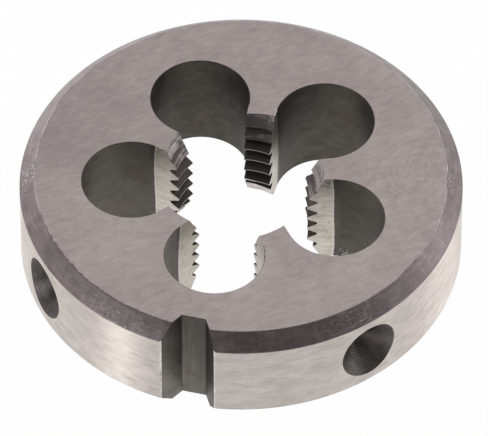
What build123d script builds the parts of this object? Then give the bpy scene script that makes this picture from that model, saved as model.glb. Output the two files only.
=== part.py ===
from build123d import *
import os
from math import asin, ceil, degrees, radians, tan

# Round threading die for a 55 degree parallel pipe thread of 1/4 inch.
# One hardened steel disc: turned, tapped, drilled through five times and ground.
# Millimetres and degrees. The origin is the centre of the lower face, +Z is the
# die's axis and the adjusting notch in the rim faces -Y.

# Turned blank
outside_diameter = 38.0
thickness = 10.0
rim_chamfer = 1.3

# Thread, Whitworth form
thread_major_diameter = 13.157
threads_per_inch = 19
thread_angle = 55.0
groove_height_at_notch = -0.04  # a groove's centre above the lower face, on the notch's side
groove_overrun = 0.1  # how far the groove's flanks run on into the open bore

# Lead-in cone at each face, relieved land by land behind its cutting edge
lead_mouth_diameter = 14.2
lead_angle = 27.0  # between the cone's wall and the die's axis
lead_relief = 0.85  # how far the cone's own axis lies from the die's axis, behind the edge

# Chip holes, and the threaded lands between them
chip_hole_count = 5
chip_hole_diameter = 8.55
chip_hole_circle_diameter = 18.8
land_width = 2.26  # across the thread's crest
rake_angle = 8.0  # between a cutting face and the radial line through its edge
throat_overrun = 1.0  # how far the throat's cutter reaches into the open bore

# Adjusting notch in the rim
notch_direction = -90.0
notch_angle = 60.0
notch_floor_width = 2.06
notch_depth = 2.4
notch_overrun = 1.0  # how far the notch's cutter reaches outside the rim

# Conical seats for the die stock's screws
seat_angle_from_notch = 49.0
seat_diameter = 5.75
seat_cone_angle = 90.0
seat_overrun = 0.6  # how far the seat's cutter reaches outside the rim

# Sizes that follow from the ones above
outside_radius = outside_diameter / 2
pitch = 25.4 / threads_per_inch
sharp_thread_height = pitch / 2 / tan(radians(thread_angle / 2))
thread_depth = sharp_thread_height * 2 / 3
major_radius = thread_major_diameter / 2
minor_radius = major_radius - thread_depth
chip_hole_radius = chip_hole_diameter / 2
chip_hole_circle_radius = chip_hole_circle_diameter / 2
land_spacing_angle = 360 / chip_hole_count

# Cutter for one turn of the thread: the full thread form swept up a right-hand helix
with BuildPart() as groove_turn:
    with BuildLine() as turn_path:
        Helix(pitch=pitch, height=pitch, radius=major_radius)
    with BuildSketch(Plane.XZ) as groove_section:
        flank_reach = thread_depth + groove_overrun
        root_half_width = pitch / 12
        groove_half_width = root_half_width + flank_reach * tan(radians(thread_angle / 2))
        with Locations((major_radius, 0)):
            Polygon(
                (0, -root_half_width),
                (0, root_half_width),
                (-flank_reach, groove_half_width),
                (-flank_reach, -groove_half_width),
            )
    sweep(path=turn_path.line, is_frenet=True)

with BuildPart() as threading_die:
    # Turned blank: half of its section, from the bore to the chamfered rim
    with BuildSketch(Plane.XZ) as blank_section:
        with BuildLine():
            Polyline(
                (minor_radius, 0),
                (outside_radius - rim_chamfer, 0),
                (outside_radius, rim_chamfer),
                (outside_radius, thickness - rim_chamfer),
                (outside_radius - rim_chamfer, thickness),
                (minor_radius, thickness),
                close=True,
            )
        make_face()
    revolve(axis=Axis.Z)

    # Chip holes, each opened into the bore by a throat between two cutting faces
    crest_half_angle = degrees(asin(land_width / 2 / minor_radius))
    edge_angle = land_spacing_angle / 2 - crest_half_angle
    cutting_edge = Vector(minor_radius, 0).rotate(Axis.Z, edge_angle)
    face_direction = Vector(1, 0).rotate(Axis.Z, edge_angle + rake_angle)
    face_length = (Vector(chip_hole_circle_radius, 0) - cutting_edge).dot(face_direction)
    throat_mouth = cutting_edge - face_direction * throat_overrun
    throat_end = cutting_edge + face_direction * face_length
    with BuildSketch() as gullets:
        with PolarLocations(chip_hole_circle_radius, chip_hole_count, start_angle=notch_direction):
            Circle(chip_hole_radius)
        with PolarLocations(0, chip_hole_count, start_angle=notch_direction):
            Polygon(
                (throat_mouth.X, throat_mouth.Y),
                (throat_mouth.X, -throat_mouth.Y),
                (throat_end.X, -throat_end.Y),
                (throat_end.X, throat_end.Y),
            )
    extrude(amount=thickness, mode=Mode.SUBTRACT)

    # Thread: the turns join end to end over the chip hole on the notch's side
    turn_count = ceil(thickness / pitch) + 2
    turn_heights = [groove_height_at_notch + (turn - 1) * pitch for turn in range(turn_count)]
    with Locations(*[Location((0, 0, height), (0, 0, notch_direction)) for height in turn_heights]):
        add(groove_turn.part, mode=Mode.SUBTRACT)

    # Lead-in: each land has its own slice of cone at each face. Seen from above, the
    # edge that cuts is on the land's counterclockwise side at the upper face, and on its
    # clockwise side at the lower face, which cuts with the die turned over.
    slice_inner_radius = minor_radius - lead_relief
    slice_outer_radius = lead_mouth_diameter / 2
    slice_depth = (slice_outer_radius - slice_inner_radius) / tan(radians(lead_angle))
    upper_slice = Location((0, -lead_relief, thickness), (0, 0, -land_spacing_angle / 2))
    lower_slice = Location((0, lead_relief, 0), (180, 0, -land_spacing_angle / 2))
    with PolarLocations(0, chip_hole_count, start_angle=notch_direction + land_spacing_angle / 2):
        with Locations(upper_slice, lower_slice):
            Cone(
                bottom_radius=slice_inner_radius,
                top_radius=slice_outer_radius,
                height=slice_depth,
                arc_size=land_spacing_angle,
                align=(Align.NONE, Align.NONE, Align.MAX),
                mode=Mode.SUBTRACT,
            )

    # Adjusting notch: a flat floor between two flared walls, through the full thickness
    with BuildSketch() as notch:
        wall_reach = notch_depth + notch_overrun
        notch_half_width = notch_floor_width / 2 + wall_reach * tan(radians(notch_angle / 2))
        with PolarLocations(outside_radius - notch_depth, 1, start_angle=notch_direction):
            Polygon(
                (0, -notch_floor_width / 2),
                (wall_reach, -notch_half_width),
                (wall_reach, notch_half_width),
                (0, notch_floor_width / 2),
            )
    extrude(amount=thickness, mode=Mode.SUBTRACT)

    # Screw seats: a cone into the rim at mid height, on each side of the notch
    cone_slope = tan(radians(seat_cone_angle / 2))
    seat_depth = seat_diameter / 2 / cone_slope
    with Locations((0, 0, thickness / 2)):
        with PolarLocations(
            outside_radius - seat_depth,
            2,
            start_angle=notch_direction - seat_angle_from_notch,
            angular_range=2 * seat_angle_from_notch,
            endpoint=True,
        ):
            Cone(
                bottom_radius=0,
                top_radius=(seat_depth + seat_overrun) * cone_slope,
                height=seat_depth + seat_overrun,
                rotation=(0, 90, 0),
                align=(Align.CENTER, Align.CENTER, Align.MIN),
                mode=Mode.SUBTRACT,
            )

os.makedirs("parts", exist_ok=True)
threading_die.part.label = "threading_die"
export_step(threading_die.part, "parts/threading_die.step")
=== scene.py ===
import bpy
import bmesh
from math import asin, atan2, cos, pi, radians, sin, sqrt, tan
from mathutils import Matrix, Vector


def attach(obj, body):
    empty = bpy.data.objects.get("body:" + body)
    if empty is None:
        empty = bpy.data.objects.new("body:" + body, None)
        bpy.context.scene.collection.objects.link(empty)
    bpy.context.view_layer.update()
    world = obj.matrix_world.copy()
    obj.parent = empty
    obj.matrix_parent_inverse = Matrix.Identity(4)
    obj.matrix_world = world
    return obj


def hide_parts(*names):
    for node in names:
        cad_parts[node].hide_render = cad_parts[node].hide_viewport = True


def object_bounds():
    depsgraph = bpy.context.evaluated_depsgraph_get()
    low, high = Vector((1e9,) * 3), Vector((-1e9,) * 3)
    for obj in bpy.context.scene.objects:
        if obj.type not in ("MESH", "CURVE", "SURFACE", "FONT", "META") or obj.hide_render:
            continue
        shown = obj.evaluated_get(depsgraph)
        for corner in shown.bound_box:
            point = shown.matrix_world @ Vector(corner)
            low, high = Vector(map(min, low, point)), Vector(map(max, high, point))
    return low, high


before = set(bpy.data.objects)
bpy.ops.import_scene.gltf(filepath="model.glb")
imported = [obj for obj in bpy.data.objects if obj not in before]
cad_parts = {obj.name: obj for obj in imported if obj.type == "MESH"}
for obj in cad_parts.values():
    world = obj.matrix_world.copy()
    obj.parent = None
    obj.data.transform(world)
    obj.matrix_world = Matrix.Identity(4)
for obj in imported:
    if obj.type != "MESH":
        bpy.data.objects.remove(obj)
cadLow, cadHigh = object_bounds()
print("frame loaded")

mm = 0.001
rimRadius = cadHigh.y / mm
thickness = (cadHigh.z - cadLow.z) / mm

# Small helpers for nodes and meshes


def addNode(tree, kind, inputs=None, **settings):
    node = tree.nodes.new(kind)
    for name, value in settings.items():
        setattr(node, name, value)
    for name, value in (inputs or {}).items():
        feed(tree, node.inputs[name], value)
    return node


def feed(tree, socket, value):
    if isinstance(value, bpy.types.NodeSocket):
        tree.links.new(value, socket)
    else:
        socket.default_value = value


def calc(tree, operation, *values):
    return addNode(tree, "ShaderNodeMath", dict(enumerate(values)), operation=operation).outputs[0]


def vectorCalc(tree, operation, *values):
    node = addNode(tree, "ShaderNodeVectorMath", dict(enumerate(values)), operation=operation)
    return node.outputs["Value" if operation in ("LENGTH", "DISTANCE", "DOT_PRODUCT") else "Vector"]


def partsOf(tree, vector):
    return addNode(tree, "ShaderNodeSeparateXYZ", {"Vector": vector}).outputs


def vectorFrom(tree, x=0.0, y=0.0, z=0.0):
    return addNode(tree, "ShaderNodeCombineXYZ", {"X": x, "Y": y, "Z": z}).outputs["Vector"]


def between(tree, value, low, high, toLow=0.0, toHigh=1.0):
    # toLow where the value is at low, toHigh where it is at high, held past both
    span = {"Value": value, "From Min": low, "From Max": high, "To Min": toLow, "To Max": toHigh}
    return addNode(tree, "ShaderNodeMapRange", span).outputs["Result"]


def newObject(name, data):
    thing = bpy.data.objects.new(name, data)
    bpy.context.scene.collection.objects.link(thing)
    return thing


def meshFrom(name, points, faces):
    mesh = bpy.data.meshes.new(name)
    mesh.from_pydata([Vector(point) * mm for point in points], [], faces)
    return mesh


def faceOutwards(mesh):
    shape = bmesh.new()
    shape.from_mesh(mesh)
    bmesh.ops.recalc_face_normals(shape, faces=shape.faces)
    shape.to_mesh(mesh)
    shape.free()


def ringFaces(rings, count, first=0):
    # quads between neighbouring rings, each of count points; first is the number of the first point
    faces = []
    for ring in range(rings - 1):
        for step in range(count):
            here = first + ring * count + step
            after = first + ring * count + (step + 1) % count
            faces.append((here, after, after + count, here + count))
    return faces


def closedRings(rings, count):
    # ringFaces, with one face over the first ring and one over the last
    ends = [tuple(reversed(range(count))), tuple(range((rings - 1) * count, rings * count))]
    return ringFaces(rings, count) + ends


# Materials: one finish for each way the steel was worked, some with painted light and shade in their
# colour


def mixColour(tree, amount, low, high):
    ends = {
        name: colour if isinstance(colour, bpy.types.NodeSocket) else (*colour, 1.0)
        for name, colour in (("A", low), ("B", high))
    }
    return addNode(tree, "ShaderNodeMix", {"Factor": amount, **ends}, data_type="RGBA").outputs["Result"]


def noiseAt(tree, where, detail, distortion=0.0):
    inputs = {"Vector": where, "Scale": 1.0, "Detail": detail, "Distortion": distortion}
    return addNode(tree, "ShaderNodeTexNoise", inputs).outputs["Fac"]


def grain(tree, place, size, turn=0.0, detail=3.0, distortion=0.0):
    # noise whose marks have this size in millimetres, the same every way or along X, Y and Z
    sides = size if isinstance(size, tuple) else (size, size, size)
    inputs = {"Vector": place, "Rotation": (0, 0, radians(turn)), "Scale": sides}
    scaled = addNode(tree, "ShaderNodeMapping", inputs, vector_type="TEXTURE")
    return noiseAt(tree, scaled.outputs["Vector"], detail, distortion)


def offMiddle(tree, value, amount, base):
    # base plus a noise's departure from its middle
    return calc(tree, "MULTIPLY_ADD", calc(tree, "SUBTRACT", value, 0.5), amount, base)


def nearSpot(tree, place, spot, size):
    # 1 in the inner quarter of a round spot, fading to 0 at its size
    return between(tree, vectorCalc(tree, "DISTANCE", place, spot), size, size / 4)


def fromAxis(tree, place):
    return vectorCalc(tree, "LENGTH", vectorCalc(tree, "MULTIPLY", place, (1, 1, 0)))


def arcMarks(tree, place, arcs):
    # noise drawn out along circles about a centre, as a wheel or a cutter leaves it
    flat = vectorCalc(tree, "MULTIPLY", vectorCalc(tree, "SUBTRACT", place, arcs["centre"]), (1, 1, 0))
    ring = calc(tree, "DIVIDE", vectorCalc(tree, "LENGTH", flat), arcs["width"])
    around = (arcs["marks"], arcs["marks"], 0)
    turned = vectorCalc(tree, "MULTIPLY", vectorCalc(tree, "NORMALIZE", flat), around)
    noise = noiseAt(tree, vectorCalc(tree, "ADD", turned, vectorFrom(tree, z=ring)), detail=2.0)
    reached = nearSpot(tree, place, arcs["centre"], arcs["reach"])
    return calc(tree, "MULTIPLY", offMiddle(tree, noise, arcs["tone"], 0.0), reached)


def toneAndPaintedShade(tree, place, look, lines, patches, swirls):
    # lighter and darker metal by tool line and by patch, with painted light and shade laid on by place
    tone = offMiddle(tree, patches, look["patchTone"], offMiddle(tree, lines, look["lineTone"], 0.5))
    # painted light and shade: lighter or darker along X, Y and Z
    tone = calc(tree, "ADD", tone, vectorCalc(tree, "DOT_PRODUCT", place, look["paintedLightSlope"]))
    if look["cloudTone"]:
        clouds = grain(tree, place, look["cloudSize"], turn=10.0, detail=2.0)
        tone = offMiddle(tree, clouds, look["cloudTone"], tone)
    for swirl in swirls:
        tone = calc(tree, "ADD", tone, swirl)
    # painted shade in round spots; below zero, painted light
    for spot, size, amount in look["paintedShadeSpots"]:
        tone = calc(tree, "MULTIPLY_ADD", nearSpot(tree, place, spot, size), -amount, tone)
    # darker towards the top, lighter where the amount is below zero; this is painted shade on the notch
    # and painted light on the thread
    if look["upperShade"]:
        start, full, amount = look["upperShade"]
        height = offMiddle(tree, patches, look["shadeWander"], partsOf(tree, place)["Z"])
        tone = calc(tree, "MULTIPLY_ADD", between(tree, height, start, full), -amount, tone)
    return tone


def stained(tree, place, look, colour):
    marks = grain(tree, place, look["stainSize"], turn=20.0, detail=4.0, distortion=0.8)
    amount = between(tree, marks, look["stainFrom"], look["stainFull"])
    return mixColour(tree, calc(tree, "MULTIPLY", amount, look["stainTone"]), colour, look["stain"])


def pitted(tree, place, look, colour, height):
    pits = grain(tree, place, look["pitSize"], detail=2.0)
    pits = between(tree, pits, look["pitFrom"], look["pitFrom"] + look["pitStep"])
    colour = mixColour(tree, calc(tree, "MULTIPLY", pits, look["pitTone"]), colour, look["pit"])
    return colour, calc(tree, "MULTIPLY_ADD", pits, -look["pitDepth"], height)


def knocked(tree, place, look, colour, height):
    # bright chips and dark dents where the die has been knocked
    chips = grain(tree, place, look["chipSize"], turn=25.0, detail=4.0)
    chipped = between(tree, chips, look["chipFrom"], look["chipFrom"] + look["chipStep"])
    dented = between(tree, chips, look["dentFrom"], look["dentFull"])
    for spot, size, brightness in look["knocks"]:
        near = nearSpot(tree, place, spot, size)
        bright = calc(tree, "MULTIPLY", calc(tree, "MULTIPLY", chipped, near), brightness)
        dent = calc(tree, "MULTIPLY", calc(tree, "MULTIPLY", dented, near), look["dentTone"])
        colour = mixColour(tree, bright, colour, look["bare"])
        colour = mixColour(tree, dent, colour, look["pit"])
        height = calc(tree, "SUBTRACT", height, dent)
    return colour, height


def endGroundZone(tree, place, look, tone, colour):
    # the ground zone of a land ends along a bowed, wandering line with a bright edge
    end = look["groundEnd"]
    fromMiddle = calc(tree, "SUBTRACT", partsOf(tree, place)["Z"], thickness / 2)
    bowed = calc(tree, "POWER", calc(tree, "DIVIDE", fromMiddle, thickness / 2), 2)
    reached = calc(tree, "MULTIPLY_ADD", bowed, end["bow"], fromAxis(tree, place))
    reached = offMiddle(tree, grain(tree, place, end["wanderSize"]), end["wander"], reached)
    spot, size, further = end["carriedOn"]
    reached = calc(tree, "MULTIPLY_ADD", nearSpot(tree, place, spot, size), -further, reached)
    edge = between(tree, reached, end["radius"] - end["edgeFrom"], end["radius"] - end["edgeFull"])
    colour = mixColour(tree, calc(tree, "MULTIPLY", edge, end["edgeTone"]), colour, look["bare"])
    beyond = mixColour(tree, tone, end["dark"], end["light"])
    ended = between(tree, reached, end["radius"] - end["blend"], end["radius"])
    return mixColour(tree, ended, colour, beyond)


def wornCrests(tree, place, look, colour):
    # what lies nearest the axis is worn bright
    low, high = look["wornRadius"]
    worn = between(tree, fromAxis(tree, place), high, low)
    return mixColour(tree, calc(tree, "MULTIPLY", worn, look["wornTone"]), colour, look["bare"])


def nicked(tree, place, edge, colour):
    # small nicks eat into the face along its outer edge, on the side that was knocked most
    nicks = grain(tree, place, edge["nickSize"], detail=4.0)
    reached = offMiddle(tree, nicks, edge["depth"], fromAxis(tree, place))
    past = between(tree, reached, edge["radius"], edge["radius"] + edge["step"])
    side = between(tree, vectorCalc(tree, "DOT_PRODUCT", place, edge["side"]), edge["from"], edge["full"])
    return mixColour(tree, calc(tree, "MULTIPLY", past, side), colour, edge["colour"])


def steelFinish(name, look):
    material = bpy.data.materials.new(name)
    material.use_nodes = True
    tree = material.node_tree
    shader = tree.nodes["Principled BSDF"]
    shader.inputs["Metallic"].default_value = look["metallic"]
    metres = addNode(tree, "ShaderNodeTexCoord").outputs["Object"]
    place = vectorCalc(tree, "MULTIPLY", metres, (1 / mm, 1 / mm, 1 / mm))
    lines = grain(tree, place, look["lineSize"], turn=look["lineTurn"], detail=4.0)
    patches = grain(tree, place, look["patchSize"], turn=look["lineTurn"], distortion=0.6)
    swirls = [arcMarks(tree, place, arcs) for arcs in look["arcs"]]

    tone = toneAndPaintedShade(tree, place, look, lines, patches, swirls)
    colour = mixColour(tree, tone, look["dark"], look["light"])
    height = lines
    for swirl in swirls:
        height = calc(tree, "ADD", height, swirl)
    if look["stain"]:
        colour = stained(tree, place, look, colour)
    colour, height = pitted(tree, place, look, colour, height)
    if look["knocks"]:
        colour, height = knocked(tree, place, look, colour, height)
    if look["groundEnd"]:
        colour = endGroundZone(tree, place, look, tone, colour)
    if look["wornRadius"]:
        colour = wornCrests(tree, place, look, colour)
    if look["nickedEdge"]:
        colour = nicked(tree, place, look["nickedEdge"], colour)

    feed(tree, shader.inputs["Base Color"], colour)
    rough = calc(tree, "MULTIPLY_ADD", patches, look["roughSpread"], look["rough"])
    feed(tree, shader.inputs["Roughness"], rough)
    if look["brushed"]:
        around = addNode(tree, "ShaderNodeTangent", direction_type="RADIAL", axis="Z")
        feed(tree, shader.inputs["Tangent"], around.outputs["Tangent"])
        shader.inputs["Anisotropic"].default_value = look["brushed"]
        shader.inputs["Anisotropic Rotation"].default_value = look["brushTurn"]
    bumps = {"Strength": look["bump"], "Distance": look["bumpHeight"] * mm, "Height": height}
    feed(tree, shader.inputs["Normal"], addNode(tree, "ShaderNodeBump", bumps).outputs["Normal"])
    return material


plainFinish = {
    "metallic": 1.0,
    "light": (0.44, 0.42, 0.41),
    "dark": (0.30, 0.285, 0.285),
    "bare": (0.72, 0.70, 0.68),
    "pit": (0.06, 0.056, 0.054),
    "lineTurn": 0.0,
    "lineSize": (16, 16, 0.16),
    "lineTone": 1.0,
    "patchSize": (3, 3, 3),
    "patchTone": 0.8,
    "paintedLightSlope": (0, 0, 0),  # painted light and shade: how much lighter the colour gets in each millimetre along X, Y and Z
    "cloudSize": 5.0,
    "cloudTone": 0.0,
    "arcs": [],  # circular marks: their centre, reach and width, how many go round, and strength
    "paintedShadeSpots": [],  # painted shade: place, size and darkening of each spot; below zero it is painted light
    "upperShade": None,  # height where darkening starts, where it is full, and how much
    "shadeWander": 3.0,
    "stain": None,
    "stainSize": 1.6,
    "stainFrom": 0.52,
    "stainFull": 0.68,
    "stainTone": 0.6,
    "pitSize": 0.18,
    "pitFrom": 0.74,
    "pitStep": 0.05,
    "pitTone": 0.5,
    "pitDepth": 0.8,
    "knocks": [],  # place, size and brightness of each knock
    "chipSize": (0.3, 0.2, 0.2),
    "chipFrom": 0.54,
    "chipStep": 0.08,
    "dentFrom": 0.46,
    "dentFull": 0.38,
    "dentTone": 0.8,
    "groundEnd": None,
    "wornRadius": None,  # fully worn up to the first radius, not at all past the second
    "wornTone": 0.6,
    "nickedEdge": None,
    "rough": 0.34,
    "roughSpread": 0.12,
    "brushed": 0.0,
    "brushTurn": 0.0,
    "bump": 0.25,
    "bumpHeight": 0.02,
}
finishes = {
    "groundFace": {
        "light": (0.557, 0.499, 0.489),
        "dark": (0.363, 0.318, 0.313),
        "lineTurn": 39.5,
        "lineSize": (1.1, 0.24, 1.1),
        "lineTone": 0.8,
        "patchSize": (1.2, 0.7, 1.2),
        "patchTone": 1.1,
        # painted light and shade: the face lighter towards +X and the front, darker in spots on the left
        # and back, lighter at the front-left
        "paintedLightSlope": (0.0085, -0.0035, 0.0),
        "paintedShadeSpots": [
            ((-15.8, 2.4, 10.0), 7.0, 0.2),
            ((-1.3, 15.8, 10.0), 7.0, 0.15),
            ((-11.5, -8.0, 10.0), 8.0, -0.17),
        ],
        "cloudSize": 6.0,
        "cloudTone": 0.8,
        "arcs": [
            {"centre": (15.4, 4.5, 10.0), "reach": 7.0, "width": 0.26, "marks": 2.0, "tone": 1.05},
            {"centre": (26.0, 4.0, 10.0), "reach": 26.0, "width": 0.32, "marks": 7.0, "tone": 0.9},
        ],
        "nickedEdge": {
            "radius": 17.56,
            "step": 0.1,
            "nickSize": 0.5,
            "depth": 0.6,
            "side": (-0.47, -0.88, 0.0),
            "from": 14.5,
            "full": 16.5,
            "colour": (0.2, 0.172, 0.176),
        },
        "pitSize": 0.12,
        "pitFrom": 0.7,
        "pitTone": 0.3,
        "rough": 0.36,
    },
    "turnedChamfer": {
        "light": (0.392, 0.339, 0.349),
        "dark": (0.211, 0.179, 0.185),
        # painted light and shade: the chamfer lighter towards the left and back, darker in spots at the
        # left and front-left
        "paintedLightSlope": (-0.02, 0.014, 0.0),
        "paintedShadeSpots": [((-17.6, -5.0, 9.2), 9.0, 0.6), ((-13.0, -12.3, 9.6), 5.0, 0.3)],
        "arcs": [
            {"centre": (0.0, 0.0, 9.4), "reach": 60.0, "width": 3.0, "marks": 70.0, "tone": 0.7},
        ],
        "lineSize": (1.6, 1.6, 0.2),
        "patchSize": (1.3, 1.3, 0.9),
        "patchTone": 1.2,
        "pitSize": 0.22,
        "pitFrom": 0.66,
        "pitTone": 0.6,
        "knocks": [
            ((-8.2, -16.7, 9.15), 1.6, 0.4),
            ((-6.6, -17.7, 8.8), 1.8, 0.5),
            ((-4.0, -18.3, 8.9), 2.0, 0.25),
            ((11.6, -13.9, 9.3), 2.2, 0.4),
            ((13.6, -12.5, 9.3), 2.2, 0.35),
            ((-17.8, -3.9, 9.8), 1.8, 1.0),
            ((17.6, 3.6, 9.9), 1.6, 0.5),
        ],
        "chipSize": (0.4, 0.3, 0.13),
        "chipFrom": 0.58,
        "dentTone": 0.25,
        "rough": 0.4,
    },
    "brokenEdge": {
        "light": (0.75, 0.69, 0.69),
        "dark": (0.2, 0.175, 0.18),
        "lineSize": (0.8, 0.8, 0.8),
        "lineTone": 1.6,
        "patchSize": (3.5, 3.5, 3.5),
        "patchTone": 2.2,
        "nickedEdge": {
            "radius": 17.0,
            "step": 0.1,
            "nickSize": 0.5,
            "depth": 0.1,
            "side": (-0.1, -0.995, 0.0),
            "from": 8.0,
            "full": 12.0,
            "colour": (0.22, 0.19, 0.194),
        },
    },
    "groundRim": {
        "light": (0.83, 0.761, 0.713),
        "dark": (0.53, 0.483, 0.446),
        "lineSize": (0.9, 0.9, 0.15),
        "lineTone": 0.9,
        "patchSize": (2.0, 2.0, 0.7),
        "patchTone": 1.4,
        "rough": 0.39,
        "brushed": 0.92,
        "brushTurn": 0.25,
        "roughSpread": 0.04,
        "bump": 0.06,
    },
    "drilledWall": {
        "light": (0.166, 0.15, 0.134),
        "dark": (0.079, 0.071, 0.062),
        "lineSize": (1.4, 1.4, 0.8),
        "lineTone": 0.9,
        "patchSize": (1.1, 1.1, 0.8),
        "patchTone": 1.3,
        # painted light and shade: the hole walls darker towards the back and lighter in three spots
        "paintedLightSlope": (0.0, -0.03, 0.0),
        "paintedShadeSpots": [
            ((-11.6, 0.5, 5.5), 8.0, -0.35),
            ((4.6, 11.8, 5.3), 7.0, -0.25),
            ((-4.0, -7.9, 7.2), 4.0, -0.4),
        ],
        "stain": (0.125, 0.1, 0.078),
        "pitSize": 0.45,
        "pitFrom": 0.68,
        "pitTone": 0.8,
        "knocks": [
            ((8.9, 1.37, 0.5), 0.9, 0.35),
            ((8.2, 1.3, 0.3), 0.6, 0.4),
            ((3.9, -7.7, 9.2), 1.8, 0.8),
        ],
        "chipFrom": 0.5,
        "rough": 0.48,
        "bump": 0.15,
    },
    "groundRake": {
        "light": (0.74, 0.69, 0.62),
        "dark": (0.42, 0.39, 0.335),
        "lineSize": (1.8, 1.8, 0.17),
        "lineTone": 1.3,
        "patchSize": (1.4, 1.4, 0.9),
        # painted shade in a spot at the top of the cutting face on the land opposite the notch
        "paintedShadeSpots": [((1.25, 7.3, 9.2), 3.4, 1.6)],
        "stain": (0.3, 0.255, 0.2),
        "stainSize": 0.8,
        "stainTone": 0.4,
        "pitFrom": 0.67,
        "upperShade": (7.2, 10.2, 0.9),
        "knocks": [
            ((7.5, 1.1, 9.3), 0.8, 0.5),
            ((6.75, 0.95, 9.1), 0.45, 0.2),
            ((-7.2, 1.1, 9.9), 0.7, 0.4),
        ],
        "groundEnd": {
            "radius": 8.15,
            "bow": 0.18,
            "wander": 0.6,
            "wanderSize": (4, 4, 9),
            "carriedOn": ((3.8, -7.3, 8.6), 3.0, 0.5),  # where the grinding went further, and how far
            "edgeFrom": 0.16,
            "edgeFull": 0.08,
            "edgeTone": 0.45,
            "blend": 0.03,
            "light": (0.13, 0.118, 0.104),
            "dark": (0.07, 0.062, 0.054),
        },
        "bump": 0.35,
    },
    "tappedThread": {
        "light": (0.2, 0.175, 0.168),
        "dark": (0.03, 0.026, 0.025),
        # painted light on the upper turns near the bore's mouth, and painted shade on the upper flanks of
        # the land opposite the notch
        "upperShade": (7.5, 10.0, -0.35),
        "paintedShadeSpots": [((0.2, 6.2, 8.5), 2.4, 0.4)],
        "lineSize": (8, 8, 0.12),
        "bare": (0.34, 0.315, 0.30),
        "wornRadius": (5.725, 5.765),
        "wornTone": 0.5,
        "rough": 0.36,
    },
    "leadCone": {
        "light": (0.98, 0.90, 0.91),
        "dark": (0.2, 0.176, 0.18),
        # painted light and shade: the lead-in lighter towards +X and in a spot on the land beside +X,
        # darker around the land opposite the notch
        "paintedLightSlope": (0.022, 0.0, 0.0),
        "paintedShadeSpots": [((6.8, 1.8, 9.4), 2.5, -0.2), ((0.0, 6.8, 9.4), 8.0, 0.5)],
        "lineSize": (5, 5, 0.16),
        "lineTone": 2.4,
        "patchSize": (0.9, 0.9, 0.7),
        "patchTone": 1.4,
        "bare": (0.9, 0.86, 0.86),
        "knocks": [
            ((1.15, 7.0, 9.66), 0.7, 0.6),
            ((-6.9, 1.8, 10.0), 0.7, 0.6),
            ((6.2, 1.3, 9.6), 1.2, 1.0),
        ],
        "rough": 0.42,
        "bump": 0.6,
    },
    # painted highlight along the notch's broken edges at the rim, in a bright bare-steel colour
    "wornCornerHighlight": {
        "light": (0.85, 0.80, 0.77),
        "dark": (0.34, 0.31, 0.295),
        "lineSize": (0.5, 0.5, 0.5),
        "lineTone": 1.6,
    },
    "notchWall": {
        "light": (0.238, 0.217, 0.196),
        "dark": (0.09, 0.082, 0.074),
        # painted light and shade: the left wall lighter, the right one darker, two lighter spots on the
        # left wall, and darker towards the top, the lower part a painted reflection of the white floor
        "paintedLightSlope": (-0.17, 0.0, 0.0),
        "paintedShadeSpots": [((-2.0, -18.1, 7.6), 2.4, -0.45), ((-2.0, -18.1, 4.2), 2.4, -0.45)],
        "upperShade": (2.0, 11.0, 0.6),
        "lineSize": (0.3, 0.3, 6.0),
        "patchSize": (1.2, 1.2, 2.5),
        "stain": (0.12, 0.1, 0.085),
        "rough": 0.46,
    },
    "seatCone": {
        "light": (0.175, 0.156, 0.157),
        "dark": (0.06, 0.054, 0.054),
        "lineSize": (0.8, 0.8, 0.8),
        "patchSize": (0.9, 0.9, 0.9),
        "patchTone": 1.3,
        # painted shade inside both seats
        "paintedShadeSpots": [((-13.0, -11.3, 5.0), 3.4, 0.55), ((13.0, -11.3, 5.0), 3.0, 0.25)],
        "stain": (0.12, 0.095, 0.075),
        "stainSize": 0.9,
        "stainTone": 0.5,
        "rough": 0.42,
    },
}
steel = {name: steelFinish(name, {**plainFinish, **look}) for name, look in finishes.items()}
print("steel finishes made:", len(steel))

# Geometry Nodes trees: what repeats round the die's axis, and the thread, which follows a helix


def newTree(name, kinds):
    # kinds: the name of each value that the tree is given, and its kind of socket
    tree = bpy.data.node_groups.new(name, "GeometryNodeTree")
    tree.interface.new_socket("Geometry", in_out="INPUT", socket_type="NodeSocketGeometry")
    tree.interface.new_socket("Geometry", in_out="OUTPUT", socket_type="NodeSocketGeometry")
    for label, kind in kinds.items():
        tree.interface.new_socket(label, in_out="INPUT", socket_type="NodeSocket" + kind)
    return tree, addNode(tree, "NodeGroupInput").outputs


def aroundAxisTree():
    tree, given = newTree("aroundAxis", {
        "Count": "Int",
        "First Angle": "Float",
        "Angle Step": "Float",
        "Material": "Material",
        "Ground Material": "Material",
    })
    points = addNode(tree, "GeometryNodePoints", {"Count": given["Count"]})
    index = addNode(tree, "GeometryNodeInputIndex").outputs["Index"]
    turn = calc(tree, "MULTIPLY_ADD", index, given["Angle Step"], given["First Angle"])
    copies = addNode(tree, "GeometryNodeInstanceOnPoints", {
        "Points": points.outputs[0],
        "Instance": given["Geometry"],
        "Rotation": vectorFrom(tree, z=turn),
    })
    real = addNode(tree, "GeometryNodeRealizeInstances", {"Geometry": copies.outputs["Instances"]})
    worked = addNode(tree, "GeometryNodeSetMaterial", {
        "Geometry": real.outputs["Geometry"],
        "Material": given["Material"],
    })
    groundZone = addNode(tree, "GeometryNodeInputNamedAttribute", {"Name": "ground"}, data_type="BOOLEAN")
    ground = addNode(tree, "GeometryNodeSetMaterial", {
        "Geometry": worked.outputs["Geometry"],
        "Selection": groundZone.outputs["Attribute"],
        "Material": given["Ground Material"],
    })
    addNode(tree, "NodeGroupOutput", {"Geometry": ground.outputs["Geometry"]})
    return tree


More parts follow.
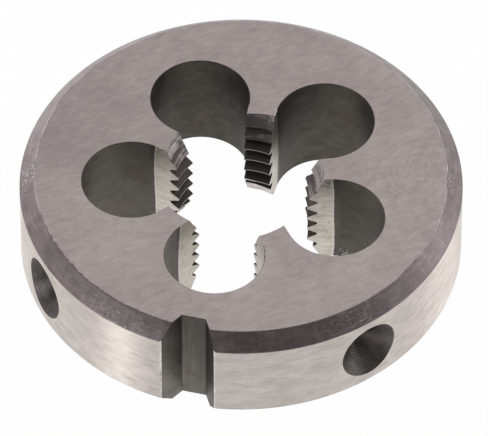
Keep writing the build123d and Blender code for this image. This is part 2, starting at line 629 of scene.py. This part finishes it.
def threadCoreTree():
    tree, given = newTree("threadCore", {
        "Major Radius": "Float",
        "Minor Radius": "Float",
        "Pitch": "Float",
        "Round Radius": "Float",
        "Flank Angle": "Float",
        "Middle Height": "Float",
        "Start Angle": "Float",
        "Turns": "Int",
        "Steps Per Turn": "Int",
        "Profile Steps": "Int",
        "Tip Reach": "Float",
        "Merge Distance": "Float",
        "Material": "Material",
    })
    major, minor, pitch = given["Major Radius"], given["Minor Radius"], given["Pitch"]
    roundRadius, flankAngle = given["Round Radius"], given["Flank Angle"]
    middle = given["Middle Height"]

    # a flat strip, one pitch wide and as long as the turns, in turns and pitches
    steps = calc(tree, "MULTIPLY", given["Turns"], given["Steps Per Turn"])
    strip = addNode(tree, "GeometryNodeMeshGrid", {
        "Size X": given["Turns"],
        "Size Y": 1.0,
        "Vertices X": calc(tree, "ADD", steps, 1),
        "Vertices Y": calc(tree, "ADD", given["Profile Steps"], 1),
    })
    flat = partsOf(tree, addNode(tree, "GeometryNodeInputPosition").outputs["Position"])
    along, across = flat["X"], flat["Y"]

    # radius across the strip: a round root, a straight flank, a round crest
    fromRoot = calc(tree, "MULTIPLY", calc(tree, "ABSOLUTE", across), pitch)
    fromCrest = calc(tree, "SUBTRACT", calc(tree, "MULTIPLY", pitch, 1 / 2), fromRoot)
    roundWidth = calc(tree, "MULTIPLY", roundRadius, calc(tree, "COSINE", flankAngle))

    def roundRise(distance):
        # how far a round of this radius falls away at a distance from its middle
        squares = calc(tree, "POWER", roundRadius, 2), calc(tree, "POWER", distance, 2)
        left = calc(tree, "MAXIMUM", calc(tree, "SUBTRACT", *squares), 0)
        return calc(tree, "SUBTRACT", roundRadius, calc(tree, "SQRT", left))

    root = calc(tree, "SUBTRACT", major, roundRise(fromRoot))
    crest = calc(tree, "ADD", minor, roundRise(fromCrest))
    middleRadius = calc(tree, "MULTIPLY", calc(tree, "ADD", major, minor), 1 / 2)
    fromFlankMiddle = calc(tree, "SUBTRACT", calc(tree, "MULTIPLY", pitch, 1 / 4), fromRoot)
    flankRise = calc(tree, "DIVIDE", fromFlankMiddle, calc(tree, "TANGENT", flankAngle))
    flank = calc(tree, "ADD", middleRadius, flankRise)
    onRoot = calc(tree, "LESS_THAN", fromRoot, roundWidth)
    onCrest = calc(tree, "LESS_THAN", fromCrest, roundWidth)
    radius = calc(tree, "MULTIPLY_ADD", onRoot, calc(tree, "SUBTRACT", root, flank), flank)
    radius = calc(tree, "MULTIPLY_ADD", onCrest, calc(tree, "SUBTRACT", crest, flank), radius)

    # wound up a right-hand helix, each turn's edge meeting the next one's
    angle = calc(tree, "MULTIPLY_ADD", along, 2 * pi, given["Start Angle"])
    wound = vectorFrom(
        tree,
        x=calc(tree, "MULTIPLY", radius, calc(tree, "COSINE", angle)),
        y=calc(tree, "MULTIPLY", radius, calc(tree, "SINE", angle)),
        z=calc(tree, "MULTIPLY_ADD", calc(tree, "ADD", along, across), pitch, middle),
    )
    helix = addNode(tree, "GeometryNodeSetPosition", {
        "Geometry": strip.outputs["Mesh"],
        "Position": wound,
    })
    joined = addNode(tree, "GeometryNodeMergeByDistance", {
        "Geometry": helix.outputs["Geometry"],
        "Distance": given["Merge Distance"],
    })

    # both open ends drawn in to a point on the axis, past the last turn
    beside = addNode(tree, "GeometryNodeInputMeshEdgeNeighbors").outputs["Face Count"]
    openEdge = addNode(tree, "FunctionNodeCompare", data_type="INT", operation="EQUAL")
    feed(tree, openEdge.inputs[2], beside)
    feed(tree, openEdge.inputs[3], 1)
    ends = addNode(tree, "GeometryNodeExtrudeMesh", {
        "Mesh": joined.outputs["Geometry"],
        "Selection": openEdge.outputs["Result"],
        "Offset Scale": 0.0,
    }, mode="EDGES")
    here = partsOf(tree, addNode(tree, "GeometryNodeInputPosition").outputs["Position"])
    side = calc(tree, "SIGN", calc(tree, "SUBTRACT", here["Z"], middle))
    reach = calc(tree, "MULTIPLY", given["Tip Reach"], pitch)
    closing = addNode(tree, "GeometryNodeSetPosition", {
        "Geometry": ends.outputs["Mesh"],
        "Selection": ends.outputs["Top"],
        "Position": vectorFrom(tree, z=calc(tree, "MULTIPLY_ADD", side, reach, middle)),
    })
    closed = addNode(tree, "GeometryNodeMergeByDistance", {
        "Geometry": closing.outputs["Geometry"],
        "Distance": given["Merge Distance"],
    })
    real = addNode(tree, "GeometryNodeRealizeInstances", {"Geometry": closed.outputs["Geometry"]})
    tapped = addNode(tree, "GeometryNodeSetMaterial", {
        "Geometry": real.outputs["Geometry"],
        "Material": given["Material"],
    })
    addNode(tree, "NodeGroupOutput", {"Geometry": tapped.outputs["Geometry"]})
    return tree


def runTree(thing, tree, values):
    # the tree's result becomes the object's own plain mesh
    modifier = thing.modifiers.new(tree.name, "NODES")
    modifier.node_group = tree
    sockets = {item.name: item.identifier for item in tree.interface.items_tree if item.in_out == "INPUT"}
    for label, value in values.items():
        modifier[sockets[label]] = value
    evaluated = thing.evaluated_get(bpy.context.evaluated_depsgraph_get())
    made = bpy.data.meshes.new_from_object(evaluated)
    thing.modifiers.remove(modifier)
    thing.data = made
    faceOutwards(made)
    return thing


aroundAxis = aroundAxisTree()


def repeatRound(cutter, count, firstAngle, angleStep, finish, groundFinish):
    # copies of the cutter round the die's axis, in degrees
    return runTree(cutter, aroundAxis, {
        "Count": count,
        "First Angle": radians(firstAngle),
        "Angle Step": radians(angleStep),
        "Material": steel[finish],
        "Ground Material": steel[groundFinish],
    })


# Sizes of the die, in millimetres and degrees

die = {
    "rimChamfer": 1.3,
    "edgeRound": 0.12,  # radius of the round on each turned edge
    "edgeSteps": 4,
    "lathedSteps": 360,
    "majorRadius": 13.157 / 2,
    "minorRadius": 11.445 / 2,
    "pitch": 25.4 / 19,
    "flankAngle": 27.5,
    "crestRound": 0.1373,  # as a share of the pitch
    "grooveAtNotch": -0.04,  # a groove's centre above the lower face, on the notch's side
    "landWidth": 2.26,
    "holeCount": 5,
    "holeRadius": 8.55 / 2,
    "holeCircle": 18.8 / 2,
    "rakeAngle": 8.0,
    "groundReach": 8.4,  # how far out along a land its cutting faces are ground
    "notchDirection": -90.0,
    "mergeDistance": 0.0005,
    "sharpAngle": 26.0,  # faces that meet at more than this keep their edge
}
landStep = 360 / die["holeCount"]


# The turned blank, lathed from its outline


def roundedCorner(before, corner, after, radius, steps):
    # points along the round that touches both sides of a corner
    toBefore = (Vector(before) - Vector(corner)).normalized()
    toAfter = (Vector(after) - Vector(corner)).normalized()
    halfAngle = toBefore.angle(toAfter) / 2
    centre = Vector(corner) + (toBefore + toAfter).normalized() * radius / sin(halfAngle)
    start = Vector(corner) + toBefore * radius / tan(halfAngle) - centre
    end = Vector(corner) + toAfter * radius / tan(halfAngle) - centre
    return [centre + start.slerp(end, step / steps).normalized() * radius for step in range(steps + 1)]


def lathedBlank():
    chamfer, count = die["rimChamfer"], die["lathedSteps"]
    corners = [
        (0, 0),
        (rimRadius - chamfer, 0),
        (rimRadius, chamfer),
        (rimRadius, thickness - chamfer),
        (rimRadius - chamfer, thickness),
        (0, thickness),
    ]
    # the finish of each rounded corner, and of the stretch that follows it
    worked = [
        ("turnedChamfer", "turnedChamfer"),
        ("turnedChamfer", "groundRim"),
        ("turnedChamfer", "turnedChamfer"),
        ("brokenEdge", "groundFace"),
    ]
    outline, zones = [], []
    for number, (cornerFinish, stretchFinish) in enumerate(worked):
        curve = roundedCorner(*corners[number:number + 3], die["edgeRound"], die["edgeSteps"])
        outline += curve
        zones += [cornerFinish] * (len(curve) - 1) + [stretchFinish]
    points = [
        (point.x * cos(2 * pi * step / count), point.x * sin(2 * pi * step / count), point.y)
        for point in outline
        for step in range(count)
    ]
    mesh = meshFrom("dieBody", points, closedRings(len(outline), count))
    kinds = [zone for zone in zones[:-1] for step in range(count)]
    kinds += ["groundFace", "groundFace"]
    names = list(steel)
    for name in names:
        mesh.materials.append(steel[name])
    for polygon, kind in zip(mesh.polygons, kinds):
        polygon.material_index = names.index(kind)
    faceOutwards(mesh)
    return newObject("dieBody", mesh)


body = lathedBlank()
print("blank lathed")

# Cutters that run through from face to face


def mirrored(points):
    return [Vector((point.x, -point.y)) for point in points]


def prismCutter(name, outline, grounded, levels):
    # outline: points in the plane; grounded: for the wall after each point, whether it has the
    # ground finish; levels: each height, and how far the outline has grown there
    count = len(outline)
    normals = []
    for number in range(count):
        before, here, after = outline[number - 1], outline[number], outline[(number + 1) % count]
        edge = (after - here).normalized() + (here - before).normalized()
        normals.append(Vector((edge.y, -edge.x)).normalized())
    points = [
        (point.x + normal.x * grow, point.y + normal.y * grow, height)
        for height, grow in levels
        for point, normal in zip(outline, normals)
    ]
    mesh = meshFrom(name, points, closedRings(len(levels), count))
    ground = mesh.attributes.new("ground", "BOOLEAN", "FACE")
    for number in range(count * (len(levels) - 1)):
        ground.data[number].value = grounded[number % count]
    return newObject(name, mesh)


# Chip holes with their throats, ground along the lands

chipHole = {
    "wallSteps": 110,
    "groundSteps": 4,
    "cornerStep": 0.1,  # along a cutting face, from where it leaves the hole to its next point
    "mouthOverrun": 1.0,  # how far the throat's cutter reaches into the open bore
    "edgeBreak": 0.05,
    "faceOverrun": 0.1,
}


def heading(angle):
    return Vector((cos(angle), sin(angle)))


def gulletOutline():
    crestHalfAngle = asin(die["landWidth"] / 2 / die["minorRadius"])
    edgeAngle = radians(landStep / 2) - crestHalfAngle
    edge = heading(edgeAngle) * die["minorRadius"]
    direction = heading(edgeAngle + radians(die["rakeAngle"]))
    centre = Vector((die["holeCircle"], 0))
    foot = (centre - edge).dot(direction)
    offLine = (centre - edge - direction * foot).length
    meet = foot - sqrt(die["holeRadius"] ** 2 - offLine ** 2)
    junction = edge + direction * meet
    mouth = edge - direction * chipHole["mouthOverrun"]
    startAngle = atan2(junction.y, junction.x - centre.x)

    # the ground zone ends at a set distance out along the land
    landDirection = heading(radians(landStep / 2))
    past = die["groundReach"] - centre.dot(landDirection)
    across = sqrt(die["holeRadius"] ** 2 - past ** 2)
    landNormal = Vector((-landDirection.y, landDirection.x))
    groundEnd = centre + landDirection * past + landNormal * across
    endAngle = atan2(groundEnd.y, groundEnd.x - centre.x)

    def wallBetween(first, last, steps):
        turns = [first + (last - first) * step / steps for step in range(steps + 1)]
        return [centre + heading(turn) * die["holeRadius"] for turn in turns]

    drilled = wallBetween(-endAngle, endAngle, chipHole["wallSteps"])
    ground = wallBetween(startAngle, endAngle, chipHole["groundSteps"])[:-1]
    upper = ground[::-1] + [ground[0] - direction * chipHole["cornerStep"], mouth]
    outline = mirrored(upper[::-1]) + drilled + upper
    walls = len(drilled) - 1
    grounded = [True] * len(upper) + [False] * walls + [True] * len(upper) + [False]
    return outline, grounded


def chipHoleCutter():
    outline, grounded = gulletOutline()
    over, lip = chipHole["faceOverrun"], chipHole["edgeBreak"]
    levels = [(-over, lip + over), (lip, 0), (thickness - lip, 0), (thickness + over, lip + over)]
    cutter = prismCutter("chipHoleCutter", outline, grounded, levels)
    return repeatRound(
        cutter, die["holeCount"], die["notchDirection"], landStep, "drilledWall", "groundRake"
    )


# Thread and bore, one core with the thread's form on it

thread = {
    "turns": 10,
    "stepsPerTurn": 200,
    "profileSteps": 36,
    "tipReach": 6.0,  # in pitches from the middle, past the last turn
    "mergeDistance": 0.001,
}


def threadCutter():
    strip = newObject("threadCutter", bpy.data.meshes.new("threadCutter"))
    grooveHeight = die["grooveAtNotch"] + die["pitch"] * (thread["turns"] // 2 - 1)
    return runTree(strip, threadCoreTree(), {
        "Major Radius": die["majorRadius"] * mm,
        "Minor Radius": die["minorRadius"] * mm,
        "Pitch": die["pitch"] * mm,
        "Round Radius": die["crestRound"] * die["pitch"] * mm,
        "Flank Angle": radians(die["flankAngle"]),
        "Middle Height": grooveHeight * mm,
        "Start Angle": radians(die["notchDirection"]),
        "Turns": thread["turns"],
        "Steps Per Turn": thread["stepsPerTurn"],
        "Profile Steps": thread["profileSteps"],
        "Tip Reach": thread["tipReach"],
        "Merge Distance": thread["mergeDistance"] * mm,
        "Material": steel["tappedThread"],
    })


# Lead-in: a slice of cone for each land, its axis set back behind the cutting edge

leadIn = {
    "mouthRadius": 7.1,
    "angle": 27.0,  # between the cone's wall and the die's axis
    "relief": 0.85,  # how far the cone's own axis lies from the die's axis, behind the edge
    "boreRadius": 3.5,  # inner side of each slice, in the open bore
    "overrun": 0.3,
    "span": 50.0,  # how much of the turn each slice takes, more than its land
    "steps": 40,
}


def leadInCutter(name, side):
    # side is 1 at the upper face and -1 at the lower one
    relief, slope = leadIn["relief"], tan(radians(leadIn["angle"]))
    face = thickness if side > 0 else 0.0
    tipRadius = die["minorRadius"] - relief
    tip = face - side * (leadIn["mouthRadius"] - tipRadius) / slope
    mouth = face + side * leadIn["overrun"]
    mouthRadius = leadIn["mouthRadius"] + leadIn["overrun"] * slope
    section = [
        (leadIn["boreRadius"], tip),
        (tipRadius, tip),
        (mouthRadius, mouth),
        (leadIn["boreRadius"], mouth),
    ]
    steps = leadIn["steps"]
    points = []
    for step in range(steps + 1):
        turn = radians(leadIn["span"] * (step / steps - 0.5))
        for radius, height in section:
            points.append((radius * cos(turn), radius * sin(turn) - side * relief, height))
    cutter = newObject(name, meshFrom(name, points, closedRings(steps + 1, len(section))))
    firstLand = die["notchDirection"] + landStep / 2
    return repeatRound(cutter, die["holeCount"], firstLand, landStep, "leadCone", "leadCone")


# Adjusting notch

notch = {
    "angle": 60.0,
    "floorWidth": 2.06,
    "depth": 2.4,
    "overrun": 1.0,
    "edgeBreak": 0.05,
    "rimBreak": 0.09,  # how far inside the rim the notch's edges are broken
    "rimFlare": 1.8,  # how steeply the cutter opens there
}


def notchCutter():
    floor = rimRadius - notch["depth"]
    floorHalf = notch["floorWidth"] / 2
    flare = tan(radians(notch["angle"] / 2))
    mouthHalf = floorHalf + notch["depth"] * flare
    lipStart = sqrt(rimRadius ** 2 - mouthHalf ** 2) - notch["rimBreak"]
    lipHalf = floorHalf + (lipStart - floor) * flare
    openHalf = lipHalf + notch["overrun"] * notch["rimFlare"]
    upper = [
        Vector((lipStart + notch["overrun"], openHalf)),
        Vector((lipStart, lipHalf)),
        Vector((floor, floorHalf)),
    ]
    outline = mirrored(upper[::-1]) + upper
    grounded = [False, True, False, True, False, False]
    lip = notch["edgeBreak"]
    levels = [(-lip, lip * 2), (lip, 0), (thickness - lip, 0), (thickness + lip, lip * 2)]
    cutter = prismCutter("notchCutter", outline, grounded, levels)
    # the notch's walls, with a painted highlight on its broken edges at the rim
    return repeatRound(cutter, 1, die["notchDirection"], 0.0, "notchWall", "wornCornerHighlight")


# Two conical seats in the rim, beside the notch

seat = {
    "angleFromNotch": 49.0,
    "radius": 5.75 / 2,
    "slope": 1.0,  # radius gained for each millimetre of depth
    "rings": 15,
    "ringStep": 0.013,  # how far the tool's rings stand in and out of the cone
    "ringLean": 0.6,  # width of each step from ring to ring, as a share of that
    "steps": 96,
    "overrun": 0.5,
}


def seatCutter():
    # outline of the cone from its point outwards, stepped by the tool's rings
    depth, slope, ringStep = seat["radius"] / seat["slope"], seat["slope"], seat["ringStep"]
    outline = []
    for ring in range(1, seat["rings"] + 1):
        distance = depth * ring / seat["rings"]
        outline.append((distance * slope, distance - ringStep))
        if ring < seat["rings"]:
            outline.append((distance * slope + ringStep * seat["ringLean"], distance + ringStep))
    outline.append(((depth + seat["overrun"]) * slope, depth + seat["overrun"]))
    count, tip = seat["steps"], rimRadius - depth
    points = [(tip, 0.0, thickness / 2)]
    for radius, distance in outline:
        for step in range(count):
            turn = 2 * pi * step / count
            points.append((tip + distance, radius * cos(turn), thickness / 2 + radius * sin(turn)))
    faces = [(0, 1 + (step + 1) % count, 1 + step) for step in range(count)]
    faces += ringFaces(len(outline), count, first=1)
    faces.append(tuple(range(len(points) - count, len(points))))
    cutter = newObject("seatCutter", meshFrom("seatCutter", points, faces))
    spread = seat["angleFromNotch"]
    return repeatRound(cutter, 2, die["notchDirection"] - spread, 2 * spread, "seatCone", "seatCone")


cutters = [
    chipHoleCutter(),
    threadCutter(),
    leadInCutter("upperLeadCutter", 1),
    leadInCutter("lowerLeadCutter", -1),
    notchCutter(),
    seatCutter(),
]
print("cutters made:", len(cutters))


def cutWith(thing, tools):
    for tool in tools:
        cut = thing.modifiers.new(tool.name, "BOOLEAN")
        cut.operation = "DIFFERENCE"
        cut.solver = "EXACT"
        cut.object = tool
        cut.material_mode = "TRANSFER"
    evaluated = thing.evaluated_get(bpy.context.evaluated_depsgraph_get())
    cutMesh = bpy.data.meshes.new_from_object(evaluated)
    thing.modifiers.clear()
    thing.data = cutMesh
    for tool in tools:
        bpy.data.objects.remove(tool)


def finishShading(mesh):
    distance = die["mergeDistance"] * mm
    shape = bmesh.new()
    shape.from_mesh(mesh)
    bmesh.ops.remove_doubles(shape, verts=shape.verts, dist=distance)
    bmesh.ops.dissolve_degenerate(shape, edges=shape.edges, dist=distance)
    openEdges = [edge for edge in shape.edges if not edge.is_manifold]
    print("open edges:", len(openEdges), "volume mm3:", round(shape.calc_volume() / mm ** 3, 2))
    shape.to_mesh(mesh)
    shape.free()
    mesh.shade_smooth()
    mesh.set_sharp_from_angle(angle=radians(die["sharpAngle"]))


cutWith(body, cutters)
print("die cut:", len(body.data.polygons), "faces")
finishShading(body.data)
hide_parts("threading_die")
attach(body, "root")

# Floor, lights and camera, in metres

studio = {
    "floorSize": 4.0,
    "floorDrop": 0.02 * mm,  # keeps the floor's face apart from the die's lower one
    "floorColour": (0.9, 0.9, 0.9, 1.0),
    "floorRoughness": 0.9,
    "floorGlow": 0.985,
    "tentColour": (1.0, 0.985, 0.98, 1.0),
    "opening": (0.19, -0.765, 0.616),  # the side of the tent that is open, and dark
    "openingSpread": (-0.1, 1.0),
    "tentLevels": (0.86, 0.135),
    "lightAim": (0, 0, 0.005),
    "lights": {
        "stripLight": {"place": (-0.526, -0.642, 0.12), "size": 0.13, "power": 1.2},
        "sideLight": {"place": (0.84, 0.4, 0.16), "size": 0.4, "power": 1.1},
        "backLight": {"place": (-0.8, 0.46, 0.15), "size": 0.4, "power": 0.5},
    },
}
camera = {
    "place": (0.11744422, -0.47235811, 0.56618557),
    "aim": (0.00144873, -0.00480882, 0.010),
    "lens": 636.82,
    "sensor": 36.0,
}


def floorMaterial():
    # white where it is seen, plain where it only lights the die
    material = bpy.data.materials.new("whiteFloor")
    material.use_nodes = True
    tree = material.node_tree
    shader = tree.nodes["Principled BSDF"]
    shader.inputs["Base Color"].default_value = studio["floorColour"]
    shader.inputs["Roughness"].default_value = studio["floorRoughness"]
    path = addNode(tree, "ShaderNodeLightPath").outputs
    seen = calc(tree, "MAXIMUM", path["Is Camera Ray"], path["Is Glossy Ray"])
    seen = calc(tree, "MAXIMUM", seen, path["Is Transmission Ray"])
    blend = addNode(tree, "ShaderNodeMixShader", {
        "Fac": calc(tree, "MULTIPLY", seen, studio["floorGlow"]),
        1: shader.outputs["BSDF"],
        2: addNode(tree, "ShaderNodeEmission").outputs["Emission"],
    })
    feed(tree, tree.nodes["Material Output"].inputs["Surface"], blend.outputs["Shader"])
    return material


def whiteFloor():
    half, height = studio["floorSize"] / 2, -studio["floorDrop"]
    corners = [(-half, -half, height), (half, -half, height), (half, half, height), (-half, half, height)]
    mesh = bpy.data.meshes.new("floor")
    mesh.from_pydata(corners, [], [(0, 1, 2, 3)])
    mesh.materials.append(floorMaterial())
    return newObject("floor", mesh)


def aimFrom(thing, place, aim):
    thing.location = place
    thing.rotation_euler = (Vector(aim) - Vector(place)).to_track_quat("-Z", "Y").to_euler()


def areaLight(name, look):
    light = bpy.data.lights.new(name, "AREA")
    light.shape = "DISK"
    light.size = look["size"]
    light.energy = look["power"]
    aimFrom(newObject(name, light), look["place"], studio["lightAim"])


def lightTent():
    world = bpy.data.worlds.new("lightTent")
    bpy.context.scene.world = world
    world.use_nodes = True
    tree = world.node_tree
    direction = addNode(tree, "ShaderNodeTexCoord").outputs["Generated"]
    facing = vectorCalc(tree, "DOT_PRODUCT", direction, Vector(studio["opening"]).normalized())
    strength = between(tree, facing, *studio["openingSpread"], *studio["tentLevels"])
    feed(tree, tree.nodes["Background"].inputs["Strength"], strength)
    tree.nodes["Background"].inputs["Color"].default_value = studio["tentColour"]


floor = whiteFloor()
for name, look in studio["lights"].items():
    areaLight(name, look)
lightTent()

cameraData = bpy.data.cameras.new("camera")
cameraData.lens = camera["lens"]
cameraData.sensor_width = camera["sensor"]
cameraObject = newObject("camera", cameraData)
aimFrom(cameraObject, camera["place"], camera["aim"])
bpy.context.scene.camera = cameraObject
bpy.context.scene.view_settings.view_transform = "Standard"
print("studio set")
